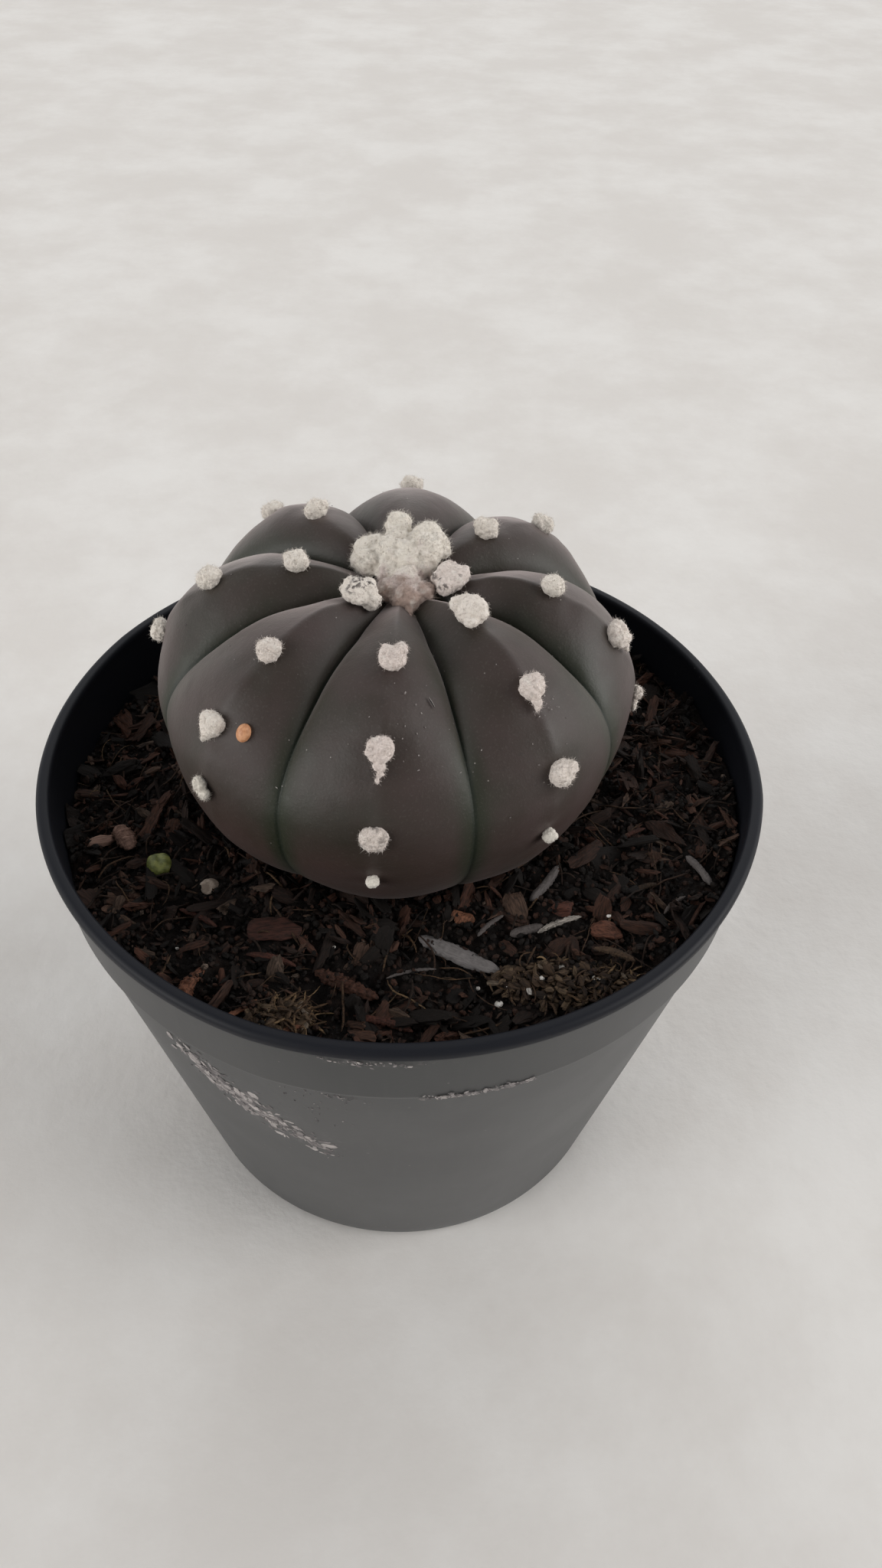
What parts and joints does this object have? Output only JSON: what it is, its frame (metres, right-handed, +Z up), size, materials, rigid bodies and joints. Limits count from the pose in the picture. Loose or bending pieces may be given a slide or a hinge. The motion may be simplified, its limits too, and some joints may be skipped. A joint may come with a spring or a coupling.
{
  "type": "potted round cactus",
  "caption": "Round flattened ribbed cactus with woolly tufts on its rib crests, planted in bark mix in a tapered round plastic nursery pot.",
  "frame": {"origin": "middle of the pot's foot, on the surface that it stands on", "axes": "+Z up; -Y is the side seen first, with the plant set a little back and left of the pot's middle; +X is to the right as seen from -Y"},
  "size_m": [0.11, 0.11, 0.1159],
  "materials": {
    "pot_plastic": "semi-gloss moulded black plastic, scuffed, with pale mineral marks",
    "soil_mix": "damp dark bark and coir potting mix",
    "cactus_skin": "smooth waxy purple-brown skin, greener in the furrows",
    "wool": "felted cream to pinkish-grey wool",
    "seed": "satin orange seed coat",
    "seedling": "soft green plant skin",
    "bark": "broken red-brown bark",
    "weathered_wood": "grey weathered wood fibre",
    "coir": "golden brown coir fibre",
    "granule": "dull tan crumb"
  },
  "bodies": {
    "root": {"areole_back_1": "wool", "areole_back_2": "wool", "areole_back_3": "wool", "areole_back_left_1": "wool", "areole_back_left_2": "wool", "areole_back_left_3": "wool", "areole_back_left_4": "wool", "areole_back_right_1": "wool", "areole_back_right_2": "wool", "areole_back_right_3": "wool", "areole_back_right_4": "wool", "areole_front_1": "wool", "areole_front_2": "wool", "areole_front_3": "wool", "areole_front_4": "wool", "areole_front_left_1": "wool", "areole_front_left_2": "wool", "areole_front_left_3": "wool", "areole_front_left_4": "wool", "areole_front_right_1": "wool", "areole_front_right_2": "wool", "areole_front_right_3": "wool", "areole_front_right_4": "wool", "areole_left_1": "wool", "areole_left_2": "wool", "areole_left_3": "wool", "areole_left_4": "wool", "areole_right_1": "wool", "areole_right_2": "wool", "areole_right_3": "wool", "areole_right_4": "wool", "bark_clump": "bark", "bark_curved": "bark", "bark_far_right": "bark", "bark_flat": "bark", "bark_left": "bark", "bark_long": "bark", "bark_orange": "bark", "bark_right": "bark", "cactus": "cactus_skin", "crown_wool": "wool", "fibre_clump": "coir", "pot": "pot_plastic", "seedling": "seedling", "skin_seed": "seed", "soil": "soil_mix", "tan_granule": "granule", "twig_far_right": "weathered_wood", "twig_pale": "weathered_wood", "twig_right": "weathered_wood", "wood_strip": "weathered_wood"}
  },
  "joints": []
}
